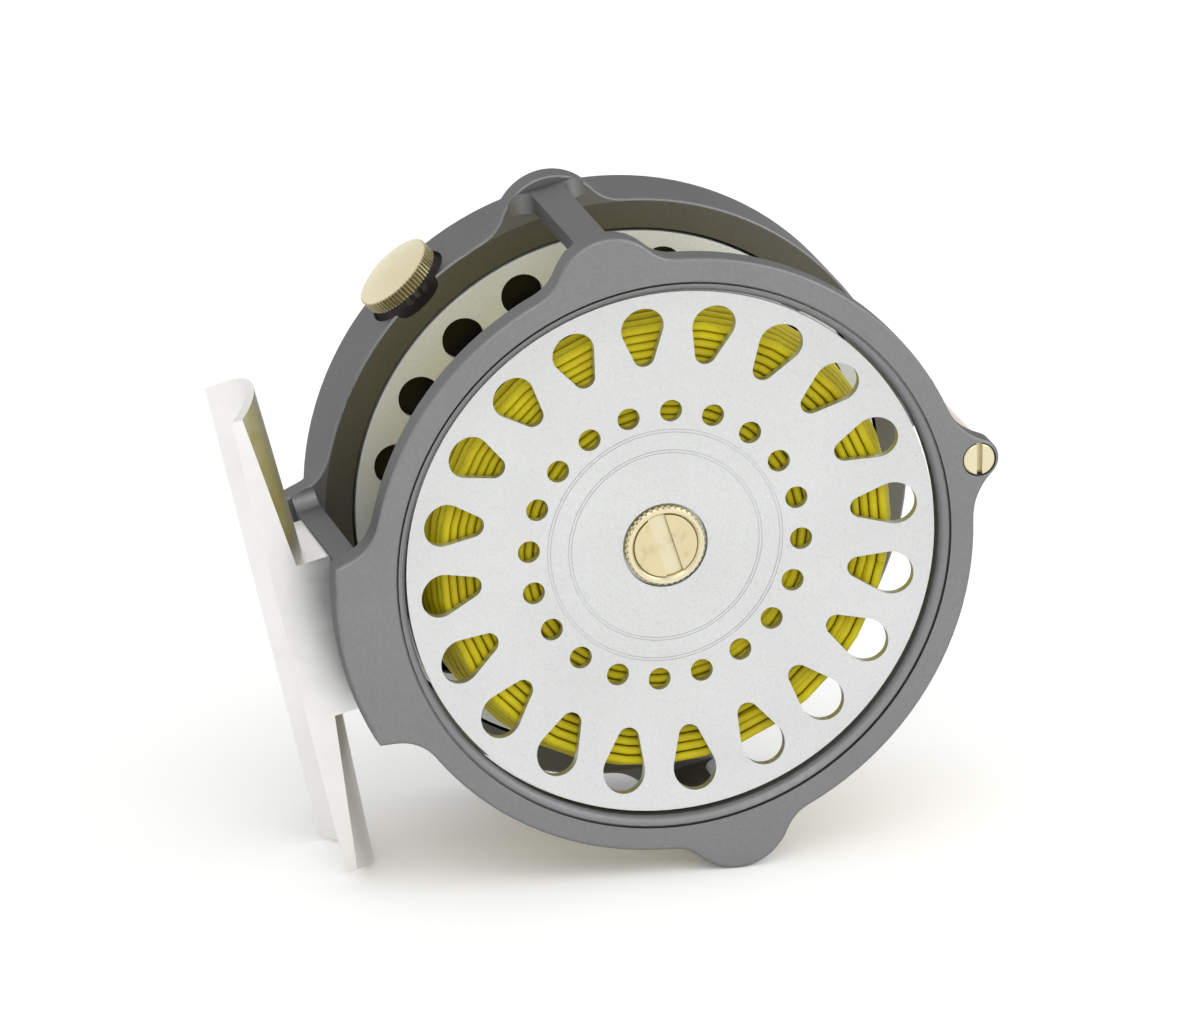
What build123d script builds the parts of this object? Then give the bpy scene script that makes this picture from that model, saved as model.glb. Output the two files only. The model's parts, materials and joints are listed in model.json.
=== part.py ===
"""Fly reel: one-piece cage with an inset perforated drum, brass check regulator and saddle foot.

Units are millimetres and +Z is up. The reel stands on the two lower lobes of its cage and the
lower toe of its foot, with the open drum side towards -Y and the handle side towards +Y. The
origin is on the table, under the middle of the reel's box.

Depth is measured along the spool axis from the drum's hub face: positive towards the open side
(-Y), negative towards the handle side (+Y). Angles are about the spool axis as seen from the
open side, counter-clockwise, from the line guard roller (0) over the top pillar (90) to the
foot (180) and the bottom pillar (270).
"""

import os
from math import acos, atan2, cos, degrees, hypot, radians, sin, sqrt

from build123d import *

os.makedirs("parts", exist_ok=True)

# --- Resting attitude -------------------------------------------------------------------------
TILT = 13.2                    # the roller points this far above the horizontal
LOBE_REACH = 35.4              # pillar lobe centre to spool axis
LOBE_R = 6.9                   # pillar lobe radius
AXIS_X = 6.0                   # spool axis from the origin, across
AXIS_Z = LOBE_REACH * cos(radians(TILT)) + LOBE_R   # spool axis height above the table
FACE_Y = -24.9                 # hub face of the drum from the origin

# --- Cage -------------------------------------------------------------------------------------
RIM_R = 38.1                   # 3 inch cage
BORE_R = 33.85                 # opening that the drum turns in
RING_FRONT = 4.6
RING_BACK = 1.5
BEAD_R = 34.85                 # outer edge of the bead round the opening
BEAD_DROP = 1.05               # the bead's inner edge below the ring's face
BEAD_GROOVE = 0.32             # width of the groove outside the bead
HOUSING_R = 37.6
HOUSING_EDGE = 0.3
HOUSING_FRONT = -22.1
LIP_BACK = -25.0
HOUSING_BACK = -34.3
BACK_ROUND = 2.6
WEB_FRONT = -24.0
WEB_BACK = -25.4
CHAMBER_R = 34.6               # check chamber and handle plate recess
LOBE_BLEND = 5.5
ROLLER_REACH = 39.7            # line guard roller to spool axis
ROLLER_LOBE_R = 2.55
ROLLER_BLEND = 8.0
AXLE_HEAD_R = 2.0
AXLE_SEAT_R = 2.15
AXLE_SLOT = 0.7
PAD_R = 42.7                   # foot pad outline
PAD_HALF = 16.3                # half angle of the pad, at PAD_R
PAD_FOOT = 21.0                # half angle of the pad, at PAD_BASE_R
PAD_BASE_R = 37.0
PAD_BLEND = 6.0
EDGE_ROUND = 0.45

STRAP_HALF = 2.05              # pillar strap, half width
STRAP_IN = 38.6
STRAP_OUT = 41.2
STRAP_ROOT = 2.9               # radius where a strap runs into the rings
SEAT_HALF = 10.6               # foot seat plate, half length
SEAT_IN = 36.9
SEAT_OUT = 39.9
SEAT_ROOT = 2.0

HUB_R = 8.6                    # bearing hub on the cage's web
HUB_FRONT = -13.0

# --- Foot -------------------------------------------------------------------------------------
FOOT_EDGE = 47.5               # rod side edges to spool axis
FOOT_NEAR = -4.8               # depth of the flank on the open side
FOOT_FAR = -18.6
FOOT_CORNER = 30.6             # middle of the foot to the corner of a toe
PEDESTAL_HALF = 10.2
TOE_ROOT = 3.5                 # flank height beside the pedestal
TOE_TIP = 1.15                 # flank height at the tip
GROOVE_R = 8.4                 # rod saddle
CROWN_ROOT = 1.85              # metal over the saddle, beside the pedestal
CROWN_TIP = 1.1
FOOT_WIDTH = FOOT_NEAR - FOOT_FAR
FOOT_MID = (FOOT_NEAR + FOOT_FAR) / 2
GROOVE_CENTRE = FOOT_EDGE + sqrt(GROOVE_R**2 - (FOOT_WIDTH / 2) ** 2)
GROOVE_FLOOR = GROOVE_CENTRE - GROOVE_R
# The toe's rounded tip comes down to the table level of the lobes.
FOOT_TIP = (AXIS_Z - GROOVE_FLOOR * sin(radians(TILT))) / cos(radians(TILT))
FOOT_SCREW_AT = -3.5
FOOT_DOWEL_AT = 4.0

# --- Drum -------------------------------------------------------------------------------------
FLANGE_R = 33.45
FLANGE_T = 1.1
HUB_FLAT_R = 15.6              # flat middle of the dished front flange
DISH_R = 56.4                  # radius of the dish outside the flat
REAR_FLANGE_FACE = HOUSING_FRONT
ARBOR_R = 11.8
ARBOR_IN = 9.6
ARBOR_SCREW_PCR = 10.7
ARBOR_SCREWS = 6
HOLES = 20
HOLE_PCR = 17.3
HOLE_R = 1.4
HOLE_TURN = -15.5              # first small hole, from the roller
DROP_TURN = -6.46              # first teardrop, from the roller
DROP_IN = 24.9                 # teardrop's narrow end
DROP_IN_R = 1.35
DROP_OUT = 28.9                # teardrop's wide end
DROP_OUT_R = 2.7
GROOVES = (12.1, 14.75)        # engraved double circles
GROOVE_GAP = 0.36
GROOVE_W = 0.13
BACKING_R = 14.0
BACKING_FRONT = -5.0
LINE_R = 28.6
LINE_FRONT = -0.9              # front of the wound line at its outside
LINE_DEEP = -4.8               # front of the wound line on the backing
LINE_BACK = -21.9

# --- Spindle and bearing ----------------------------------------------------------------------
SPINDLE_R = 3.0
CAP_SEAT = -1.0
COLLAR_R = 5.05
COLLAR_TOP = 0.5
COLLAR_NOTCHES = 40
COLLAR_SEAT_R = 5.4
SCREW_HEAD_R = 4.05
BEARING_R = 6.5
BEARING_FRONT = -21.5
BEARING_BACK = -25.0
BALL_R = 1.0
BALL_PCR = 4.75
BALLS = 8
RACE_GROOVE_R = 1.04
BUSH_R = 4.4
RUNNING = 0.05                 # radial clearance of every turning fit

# --- Check ------------------------------------------------------------------------------------
REG_TURN = 120.0               # regulator, from the roller
REG_DEPTH = -26.7
WHEEL_TIP = 8.0
WHEEL_ROOT = 6.9
TEETH = 24
WHEEL_FRONT = -26.0
WHEEL_BACK = -27.4
PAWL_X = 10.0                  # pawl pivot, along the regulator's axis
PAWL_Y = 7.5                   # pawl pivot, across it
PAWL_APEX = 7.15
KNOB_R = 5.3
KNOB_FOOT = 38.3
KNOB_RIM = 39.95               # where the crown meets the knurled edge
KNOB_TOP = 40.7
CROWN_R = 19.1                 # radius of the domed crown
KNURLS = 66
POCKET_R = 5.65
POCKET_FLOOR = 35.6
POCKET_ROUND = 1.6
STEM_R = 0.9
STEM_END = 24.0
SLIDE_OUT = 30.5
SLIDE_IN = 26.5

# --- Handle side ------------------------------------------------------------------------------
PLATE_R = 34.2
PLATE_FRONT = -31.9
PLATE_BACK = -33.5
SQUARE = 4.2
HANDLE_TURN = -58.0            # handle, from the roller
HANDLE_REACH = 25.5
HANDLE_LENGTH = 19.0
POST_R = 1.3


def face(depth=0.0, turn=0.0):
    """Plane across the spool axis, facing the open side, its x axis turned from the roller."""
    angle = radians(TILT + turn)
    return Plane(
        origin=(AXIS_X, FACE_Y - depth, AXIS_Z),
        x_dir=(cos(angle), 0, sin(angle)),
        z_dir=(0, -1, 0),
    )


def radial(turn, reach, depth):
    """Plane facing outwards from the spool axis: x runs towards the open side."""
    angle = radians(TILT + turn)
    return Plane(
        origin=(AXIS_X + reach * cos(angle), FACE_Y - depth, AXIS_Z + reach * sin(angle)),
        x_dir=(0, -1, 0),
        z_dir=(cos(angle), 0, sin(angle)),
    )


def section(turn=0.0, reach=0.0):
    """Half plane for turned pieces: x is the radius, y the depth, from a line beside the axis."""
    angle = radians(TILT + turn)
    return Plane(
        origin=(AXIS_X + reach * cos(angle), FACE_Y, AXIS_Z + reach * sin(angle)),
        x_dir=(cos(angle), 0, sin(angle)),
        z_dir=(sin(angle), 0, -cos(angle)),
    )


def axis_at(turn=0.0, reach=0.0):
    """The spool axis, or a line beside it."""
    return Axis(section(turn, reach).origin, (0, -1, 0))


def polar(reach, turn):
    """Point on a face plane from its distance and angle."""
    return (reach * cos(radians(turn)), reach * sin(radians(turn)))


def finish(piece, label):
    """Label a finished piece and write its STEP file."""
    piece.part.label = label
    export_step(piece.part, f"parts/{label}.step")


def tube(outer, inner, back, front, turn=0.0, reach=0.0):
    """Plain ring, or a disc where inner is 0, on the spool axis or a line beside it."""
    with BuildPart() as piece:
        with BuildSketch(face(back, turn)):
            with Locations((reach, 0)):
                Circle(outer)
                if inner > 0:
                    Circle(inner, mode=Mode.SUBTRACT)
        extrude(amount=front - back)
    return piece


# --- Cage -------------------------------------------------------------------------------------
def near_rim(vertex, rim, turn, span):
    """True for an outline corner on the rim circle within span degrees of turn."""
    off = (degrees(atan2(vertex.Y, vertex.X)) - turn + 180) % 360 - 180
    return abs(hypot(vertex.X, vertex.Y) - rim) < 0.01 and abs(off) < span


with BuildSketch() as pad:
    with BuildLine():
        pad_arc = ThreePointArc(
            polar(PAD_R, 180 - PAD_HALF), polar(PAD_R, 180), polar(PAD_R, 180 + PAD_HALF)
        )
        Polyline(
            polar(PAD_R, 180 + PAD_HALF),
            polar(PAD_BASE_R, 180 + PAD_FOOT),
            polar(PAD_BASE_R, 180 - PAD_FOOT),
            polar(PAD_R, 180 - PAD_HALF),
        )
    make_face()


def outline(rim):
    """Outline of the ring or the housing: a rim with two pillar lobes, a roller lobe and a pad."""
    with BuildSketch() as shape:
        Circle(rim)
        with Locations(polar(LOBE_REACH, 90), polar(LOBE_REACH, 270)):
            Circle(LOBE_R)
        with Locations(polar(ROLLER_REACH, 0)):
            Circle(ROLLER_LOBE_R)
        add(pad.sketch)
        for turn, blend in ((90, LOBE_BLEND), (270, LOBE_BLEND), (0, ROLLER_BLEND),
                            (180, PAD_BLEND)):
            fillet([v for v in shape.vertices() if near_rim(v, rim, turn, 25)], radius=blend)
    return shape.sketch


ring_outline = outline(RIM_R)
housing_outline = outline(HOUSING_R)

with BuildPart() as bridges:
    gap = RING_BACK - HOUSING_FRONT
    middle = (RING_BACK + HOUSING_FRONT) / 2
    far = 30.0
    for turn, half, inner, outer, root in (
        (90, STRAP_HALF, STRAP_IN, STRAP_OUT, STRAP_ROOT),
        (270, STRAP_HALF, STRAP_IN, STRAP_OUT, STRAP_ROOT),
        (180, SEAT_HALF, SEAT_IN, SEAT_OUT, SEAT_ROOT),
    ):
        with BuildSketch(radial(turn, inner, middle)):
            Rectangle(gap, 2 * (half + root))
            with Locations((0, half + far / 2), (0, -half - far / 2)):
                RectangleRounded(gap, far, root, mode=Mode.SUBTRACT)
        extrude(amount=outer - inner)
    with BuildSketch(face(HOUSING_FRONT)):
        add(housing_outline)
    extrude(amount=gap, mode=Mode.INTERSECT)

with BuildPart() as pocket:
    with BuildSketch(radial(REG_TURN, POCKET_FLOOR, REG_DEPTH)):
        Circle(POCKET_R)
    extrude(amount=10)
    rims = pocket.edges().filter_by(GeomType.CIRCLE)
    fillet(rims.sort_by_distance(face(REG_DEPTH).origin)[0], radius=POCKET_ROUND)

with BuildPart() as housing:
    with BuildSketch(face(LIP_BACK)):
        add(housing_outline)
    extrude(amount=HOUSING_FRONT - LIP_BACK)
    fillet(housing.faces().sort_by(Axis.Y)[0].edges(), radius=HOUSING_EDGE)
    with BuildSketch(face(HOUSING_BACK)):
        Circle(HOUSING_R)
    extrude(amount=LIP_BACK - HOUSING_BACK)
    fillet(housing.faces().sort_by(Axis.Y)[-1].edges(), radius=BACK_ROUND)

with BuildPart() as frame:
    with BuildSketch(face(RING_BACK)):
        add(ring_outline)
    extrude(amount=RING_FRONT - RING_BACK)
    fillet(frame.faces().sort_by(Axis.Y)[0].edges(), radius=EDGE_ROUND)
    add(housing.part)
    add(bridges.part)
    with BuildSketch(face(RING_FRONT)):
        Circle(BORE_R)
    extrude(amount=WEB_FRONT - RING_FRONT, mode=Mode.SUBTRACT)
    with BuildSketch(face(HOUSING_BACK)):
        Circle(CHAMBER_R)
    extrude(amount=WEB_BACK - HOUSING_BACK, mode=Mode.SUBTRACT)
    # A rounded bead falls from a fine groove in the ring's face to the drum opening.
    with BuildSketch(section()):
        inner_edge = (BORE_R, RING_FRONT - BEAD_DROP)
        outer_edge = (BEAD_R, RING_FRONT - 0.12)
        above = RING_FRONT + 1
        groove_floor = RING_FRONT - 0.6
        with BuildLine():
            Polyline(inner_edge, (BORE_R - 0.5, inner_edge[1]), (BORE_R - 0.5, above),
                     (BEAD_R + BEAD_GROOVE, above), (BEAD_R + BEAD_GROOVE, groove_floor),
                     (BEAD_R, groove_floor), outer_edge)
            bulge = ((BORE_R + BEAD_R) / 2, RING_FRONT - 0.3)
            ThreePointArc(outer_edge, bulge, inner_edge)
        make_face()
    revolve(axis=axis_at(), mode=Mode.SUBTRACT)
    # Hub for the bearing and the bush.
    with BuildSketch(face(WEB_BACK)):
        Circle(HUB_R)
    extrude(amount=HUB_FRONT - WEB_BACK)
    with BuildSketch(face(WEB_BACK - 1)):
        Circle(BUSH_R)
    extrude(amount=HUB_FRONT - WEB_BACK + 2, mode=Mode.SUBTRACT)
    with BuildSketch(face(WEB_BACK - 1)):
        Circle(BEARING_R)
    extrude(amount=BEARING_FRONT - WEB_BACK + 1, mode=Mode.SUBTRACT)
    # Regulator pocket and the hole for its bush.
    add(pocket.part, mode=Mode.SUBTRACT)
    with BuildSketch(radial(REG_TURN, 33.0, REG_DEPTH)):
        Circle(1.8)
    extrude(amount=5, mode=Mode.SUBTRACT)
    # Line guard axle, its head sunk in the front face.
    with BuildSketch(face(LIP_BACK - 1)):
        with Locations(polar(ROLLER_REACH, 0)):
            Circle(1.0)
    extrude(amount=RING_FRONT - LIP_BACK + 2, mode=Mode.SUBTRACT)
    with BuildSketch(face(RING_FRONT - 1.2)):
        with Locations(polar(ROLLER_REACH, 0)):
            Circle(AXLE_SEAT_R)
    extrude(amount=2, mode=Mode.SUBTRACT)
    # Foot screw and dowel holes, along the middle of the seat.
    for along, radius in ((FOOT_SCREW_AT, 1.2), (FOOT_DOWEL_AT, 1.2)):
        with BuildSketch(radial(180, SEAT_IN - 1, FOOT_MID)):
            with Locations((0, along)):
                Circle(radius)
        extrude(amount=SEAT_OUT - SEAT_IN + 2, mode=Mode.SUBTRACT)
    # Pawl and spring post holes in the web.
    with BuildSketch(face(WEB_BACK - 1, REG_TURN)):
        with Locations((PAWL_X, PAWL_Y)):
            Circle(1.0)
    extrude(amount=WEB_FRONT - WEB_BACK + 2, mode=Mode.SUBTRACT)
finish(frame, "frame")

# --- Foot -------------------------------------------------------------------------------------
def toe_section(along, flank, crown):
    """Section across the foot: flanks, a crowned top and a flat rod side, still uncut."""
    plane = Plane(
        origin=face(FOOT_MID).from_local_coords((-FOOT_EDGE, along, 0)),
        x_dir=(0, -1, 0),
        z_dir=face().y_dir,
    )
    half = FOOT_WIDTH / 2
    up = 1 if plane.to_local_coords(face().origin).Y > 0 else -1
    with BuildSketch(plane) as profile:
        with BuildLine():
            Polyline((-half, flank * up), (-half, 0), (half, 0), (half, flank * up))
            ThreePointArc(
                (half, flank * up),
                (0, (FOOT_EDGE - GROOVE_FLOOR + crown) * up),
                (-half, flank * up),
            )
        make_face()
    return profile.sketch


with BuildPart() as foot:
    for end in (1, -1):
        root_section = toe_section(end * (PEDESTAL_HALF - 1), TOE_ROOT, CROWN_ROOT)
        tip_section = toe_section(end * (FOOT_TIP + 1), TOE_TIP, CROWN_TIP)
        loft(sections=[root_section, tip_section])
    with BuildSketch(face(FOOT_FAR)):
        with Locations((-(FOOT_EDGE + SEAT_OUT) / 2, 0)):
            Rectangle(FOOT_EDGE - SEAT_OUT, 2 * PEDESTAL_HALF)
    extrude(amount=FOOT_WIDTH)
    # The toes end in a shallow arc, seen from the rod.
    with BuildSketch(radial(180, SEAT_OUT - 1, FOOT_MID)):
        with BuildLine():
            half = FOOT_WIDTH / 2
            Line((-half, FOOT_CORNER), (-half, -FOOT_CORNER))
            ThreePointArc((-half, -FOOT_CORNER), (0, -FOOT_TIP), (half, -FOOT_CORNER))
            Line((half, -FOOT_CORNER), (half, FOOT_CORNER))
            ThreePointArc((half, FOOT_CORNER), (0, FOOT_TIP), (-half, FOOT_CORNER))
        make_face()
    extrude(amount=FOOT_EDGE - SEAT_OUT + 2, mode=Mode.INTERSECT)
    # Rod saddle.
    saddle_plane = Plane(
        origin=face(FOOT_MID).from_local_coords((-GROOVE_CENTRE, -FOOT_TIP - 2, 0)),
        x_dir=(0, -1, 0),
        z_dir=face().y_dir,
    )
    with BuildSketch(saddle_plane):
        Circle(GROOVE_R)
    extrude(amount=2 * FOOT_TIP + 4, mode=Mode.SUBTRACT)
    for along in (FOOT_SCREW_AT, FOOT_DOWEL_AT):
        with BuildSketch(radial(180, SEAT_OUT - 1, FOOT_MID)):
            with Locations((0, along)):
                Circle(1.2)
        extrude(amount=10, mode=Mode.SUBTRACT)
    with BuildSketch(radial(180, GROOVE_FLOOR - 1.2, FOOT_MID)):
        with Locations((0, FOOT_SCREW_AT)):
            Circle(2.3)
    extrude(amount=5, mode=Mode.SUBTRACT)
finish(foot, "reel_foot")

with BuildPart() as foot_screw:
    with BuildSketch(radial(180, SEAT_IN, FOOT_MID)):
        with Locations((0, FOOT_SCREW_AT)):
            Circle(1.2)
    extrude(amount=GROOVE_FLOOR - 1.2 - SEAT_IN)
    with BuildSketch(radial(180, GROOVE_FLOOR - 1.2, FOOT_MID)):
        with Locations((0, FOOT_SCREW_AT)):
            Circle(2.25)
    extrude(amount=1.3)
    fillet(foot_screw.faces().sort_by(Axis((0, 0, 0), radial(180, 1, 0).z_dir))[-1].edges(),
           radius=0.5)
    with BuildSketch(radial(180, GROOVE_FLOOR - 0.5, FOOT_MID)):
        with Locations((0, FOOT_SCREW_AT)):
            Rectangle(0.6, 6)
    extrude(amount=2, mode=Mode.SUBTRACT)
finish(foot_screw, "foot_screw")

with BuildPart() as foot_dowel:
    with BuildSketch(radial(180, SEAT_IN + 0.2, FOOT_MID)):
        with Locations((0, FOOT_DOWEL_AT)):
            Circle(1.2)
    extrude(amount=GROOVE_FLOOR - SEAT_IN - 1.0)
finish(foot_dowel, "foot_dowel")

# --- Line guard -------------------------------------------------------------------------------
roller = tube(1.75, 1.0 + RUNNING, HOUSING_FRONT + 0.25, RING_BACK - 0.25, reach=ROLLER_REACH)
finish(roller, "line_guard_roller")

with BuildPart() as axle:
    with BuildSketch(face(LIP_BACK + 0.1)):
        with Locations(polar(ROLLER_REACH, 0)):
            Circle(1.0)
    extrude(amount=RING_FRONT - 1.2 - LIP_BACK - 0.1)
    with BuildSketch(face(RING_FRONT - 1.2)):
        with Locations(polar(ROLLER_REACH, 0)):
            Circle(AXLE_HEAD_R)
    extrude(amount=1.3)
    chamfer(axle.faces().sort_by(Axis.Y)[0].edges(), length=0.15)
    with BuildSketch(face(RING_FRONT - 1.05, 90 - TILT)):
        with Locations((ROLLER_REACH * sin(radians(TILT)), -ROLLER_REACH * cos(radians(TILT)))):
            Rectangle(6, AXLE_SLOT)
    extrude(amount=2, mode=Mode.SUBTRACT)
finish(axle, "roller_axle")

# --- Drum -------------------------------------------------------------------------------------
def teardrop_ring():
    """The ring of teardrop openings, as faces of the sketch that is being built."""
    lean = acos(-(DROP_OUT_R - DROP_IN_R) / (DROP_OUT - DROP_IN))
    side = []
    for reach, radius in ((DROP_IN, DROP_IN_R), (DROP_OUT, DROP_OUT_R)):
        side.append((reach + radius * cos(lean), radius * sin(lean)))
    with PolarLocations(0, HOLES, start_angle=DROP_TURN):
        Polygon(side[0], side[1], (side[1][0], -side[1][1]), (side[0][0], -side[0][1]), align=None)
        with Locations((DROP_IN, 0)):
            Circle(DROP_IN_R)
        with Locations((DROP_OUT, 0)):
            Circle(DROP_OUT_R)


def hole_ring():
    """The ring of small round holes."""
    with PolarLocations(HOLE_PCR, HOLES, start_angle=HOLE_TURN):
        Circle(HOLE_R)


def dish(reach, radius):
    """Height of the dished face at a distance from the spool axis."""
    return radius - sqrt(radius**2 - (reach - HUB_FLAT_R) ** 2)


with BuildPart() as front_flange:
    under = DISH_R + FLANGE_T
    with BuildSketch(section()):
        with BuildLine():
            mid = (HUB_FLAT_R + FLANGE_R) / 2
            Line((COLLAR_SEAT_R, 0), (HUB_FLAT_R, 0))
            ThreePointArc((HUB_FLAT_R, 0), (mid, dish(mid, DISH_R)), (FLANGE_R, dish(FLANGE_R, DISH_R)))
            Line((FLANGE_R, dish(FLANGE_R, DISH_R)), (FLANGE_R, dish(FLANGE_R, under) - FLANGE_T))
            ThreePointArc(
                (FLANGE_R, dish(FLANGE_R, under) - FLANGE_T),
                (mid, dish(mid, under) - FLANGE_T),
                (HUB_FLAT_R, -FLANGE_T),
            )
            Polyline((HUB_FLAT_R, -FLANGE_T), (7.5, -FLANGE_T), (7.5, -4.5), (SPINDLE_R, -4.5),
                     (SPINDLE_R, CAP_SEAT), (COLLAR_SEAT_R, CAP_SEAT), (COLLAR_SEAT_R, 0))
        make_face()
    revolve(axis=axis_at())
    with BuildSketch(face(-2)):
        teardrop_ring()
        hole_ring()
    extrude(amount=8, mode=Mode.SUBTRACT)
    with BuildSketch(face(-0.1)):
        for middle_r in sorted(GROOVES, reverse=True):
            for edge in (middle_r + GROOVE_GAP / 2, middle_r - GROOVE_GAP / 2):
                Circle(edge + GROOVE_W / 2)
                Circle(edge - GROOVE_W / 2, mode=Mode.SUBTRACT)
    extrude(amount=1, mode=Mode.SUBTRACT)
finish(front_flange, "drum_front_flange")

with BuildPart() as rear_flange:
    with BuildSketch(face(REAR_FLANGE_FACE - FLANGE_T)):
        Circle(FLANGE_R)
        Circle(ARBOR_IN, mode=Mode.SUBTRACT)
        with PolarLocations(ARBOR_SCREW_PCR, ARBOR_SCREWS):
            Circle(0.9, mode=Mode.SUBTRACT)
    extrude(amount=FLANGE_T)
    with BuildSketch(face(REAR_FLANGE_FACE - 2)):
        teardrop_ring()
        hole_ring()
    extrude(amount=4, mode=Mode.SUBTRACT)
finish(rear_flange, "drum_rear_flange")

with BuildPart() as arbor:
    with BuildSketch(face(REAR_FLANGE_FACE)):
        Circle(ARBOR_R)
        Circle(ARBOR_IN, mode=Mode.SUBTRACT)
    extrude(amount=-FLANGE_T - REAR_FLANGE_FACE)
    with BuildSketch(face(REAR_FLANGE_FACE)):
        with PolarLocations(ARBOR_SCREW_PCR, ARBOR_SCREWS):
            Circle(0.5)
    extrude(amount=4, mode=Mode.SUBTRACT)
finish(arbor, "drum_arbor")

with BuildPart() as arbor_screws:
    with BuildSketch(face(REAR_FLANGE_FACE)):
        with PolarLocations(ARBOR_SCREW_PCR, ARBOR_SCREWS):
            Circle(0.5)
    extrude(amount=3.8)
    with BuildSketch(face(REAR_FLANGE_FACE - FLANGE_T)):
        with PolarLocations(ARBOR_SCREW_PCR, ARBOR_SCREWS):
            Circle(0.88)
    extrude(amount=FLANGE_T)
finish(arbor_screws, "arbor_screws")

backing = tube(BACKING_R, ARBOR_R, LINE_BACK, BACKING_FRONT)
finish(backing, "backing")

with BuildPart() as fly_line:
    with BuildSketch(section()):
        Polygon((BACKING_R, LINE_BACK), (LINE_R, LINE_BACK), (LINE_R, LINE_FRONT),
                (BACKING_R, LINE_DEEP), align=None)
    revolve(axis=axis_at())
finish(fly_line, "fly_line")

# --- Spindle ----------------------------------------------------------------------------------
with BuildPart() as spindle:
    with BuildSketch(face(PLATE_FRONT)):
        Circle(SPINDLE_R)
    extrude(amount=CAP_SEAT - PLATE_FRONT)
    with BuildSketch(face(PLATE_BACK)):
        Rectangle(SQUARE, SQUARE)
    extrude(amount=PLATE_FRONT - PLATE_BACK)
    for seat, length in ((CAP_SEAT, -7.0), (PLATE_BACK, 7.0)):
        with BuildSketch(face(seat)):
            Circle(1.5)
        extrude(amount=length, mode=Mode.SUBTRACT)
finish(spindle, "spindle")

with BuildPart() as collar:
    with BuildSketch(face(CAP_SEAT)):
        Circle(COLLAR_R)
        Circle(SCREW_HEAD_R + 0.05, mode=Mode.SUBTRACT)
    extrude(amount=COLLAR_TOP - CAP_SEAT)
    chamfer(collar.faces().sort_by(Axis.Y)[0].edges(), length=0.25)
    with BuildSketch(face(COLLAR_TOP - 0.7)):
        with PolarLocations(COLLAR_R, COLLAR_NOTCHES):
            Circle(0.2)
    extrude(amount=1, mode=Mode.SUBTRACT)
finish(collar, "spindle_collar")

with BuildPart() as cap:
    with BuildSketch(face(CAP_SEAT - 6.0)):
        Circle(1.5)
    extrude(amount=6.0)
    with BuildSketch(face(CAP_SEAT)):
        Circle(SCREW_HEAD_R)
    extrude(amount=0.4 - CAP_SEAT)
    fillet(cap.faces().sort_by(Axis.Y)[0].edges(), radius=0.25)
    with BuildSketch(face(-0.3, 108.0 - TILT)):
        Rectangle(12, 2.2)
    extrude(amount=2, mode=Mode.SUBTRACT)
finish(cap, "spindle_cap")

# --- Bearing and bush -------------------------------------------------------------------------
bearing_mid = (BEARING_FRONT + BEARING_BACK) / 2


def race(outer, inner):
    """Bearing race with its ball groove."""
    with BuildPart() as piece:
        with BuildSketch(face(BEARING_BACK)):
            Circle(outer)
            Circle(inner, mode=Mode.SUBTRACT)
        extrude(amount=BEARING_FRONT - BEARING_BACK)
        with BuildSketch(section()):
            with Locations((BALL_PCR, bearing_mid)):
                Circle(RACE_GROOVE_R)
        revolve(axis=axis_at(), mode=Mode.SUBTRACT)
    return piece


finish(race(BEARING_R, BALL_PCR + 0.65), "bearing_outer_race")
finish(race(BALL_PCR - 0.65, SPINDLE_R), "bearing_inner_race")

with BuildPart() as balls:
    with Locations(face(bearing_mid)):
        with PolarLocations(BALL_PCR, BALLS):
            Sphere(BALL_R)
finish(balls, "bearing_balls")

with BuildPart() as retainer:
    with BuildSketch(face(BEARING_BACK + 0.3)):
        Circle(BALL_PCR + 0.3)
        Circle(BALL_PCR - 0.3, mode=Mode.SUBTRACT)
    extrude(amount=BEARING_FRONT - BEARING_BACK - 0.6)
    for i in range(BALLS):
        with BuildSketch(radial(i * 360 / BALLS, BALL_PCR - 1, bearing_mid)):
            Circle(BALL_R + 0.05)
        extrude(amount=2, mode=Mode.SUBTRACT)
finish(retainer, "bearing_retainer")

bush = tube(BUSH_R, SPINDLE_R + RUNNING, HUB_FRONT - 5.0, HUB_FRONT)
finish(bush, "spindle_bush")

# --- Check ------------------------------------------------------------------------------------
with BuildPart() as wheel:
    with BuildSketch(face(WHEEL_BACK, REG_TURN)):
        points = []
        for i in range(2 * TEETH):
            points.append(polar(WHEEL_ROOT if i % 2 == 0 else WHEEL_TIP, i * 180 / TEETH))
        Polygon(*points, align=None)
        Circle(SPINDLE_R, mode=Mode.SUBTRACT)
    extrude(amount=WHEEL_FRONT - WHEEL_BACK)
finish(wheel, "ratchet_wheel")

with BuildPart() as pawl:
    with BuildSketch(face(WHEEL_BACK, REG_TURN)):
        with Locations((PAWL_X, PAWL_Y)):
            Circle(1.9)
        with Locations((PAWL_X, PAWL_Y / 2 - 0.5)):
            Rectangle(2.2, PAWL_Y + 1.0)
        Polygon((PAWL_APEX, 0.1), (PAWL_APEX, -0.1), (8.95, -0.85), (8.95, 0.85), align=None)
        with Locations((PAWL_X, PAWL_Y)):
            Circle(1.0 + RUNNING, mode=Mode.SUBTRACT)
    extrude(amount=WHEEL_FRONT - WHEEL_BACK)
finish(pawl, "check_pawl")

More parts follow.
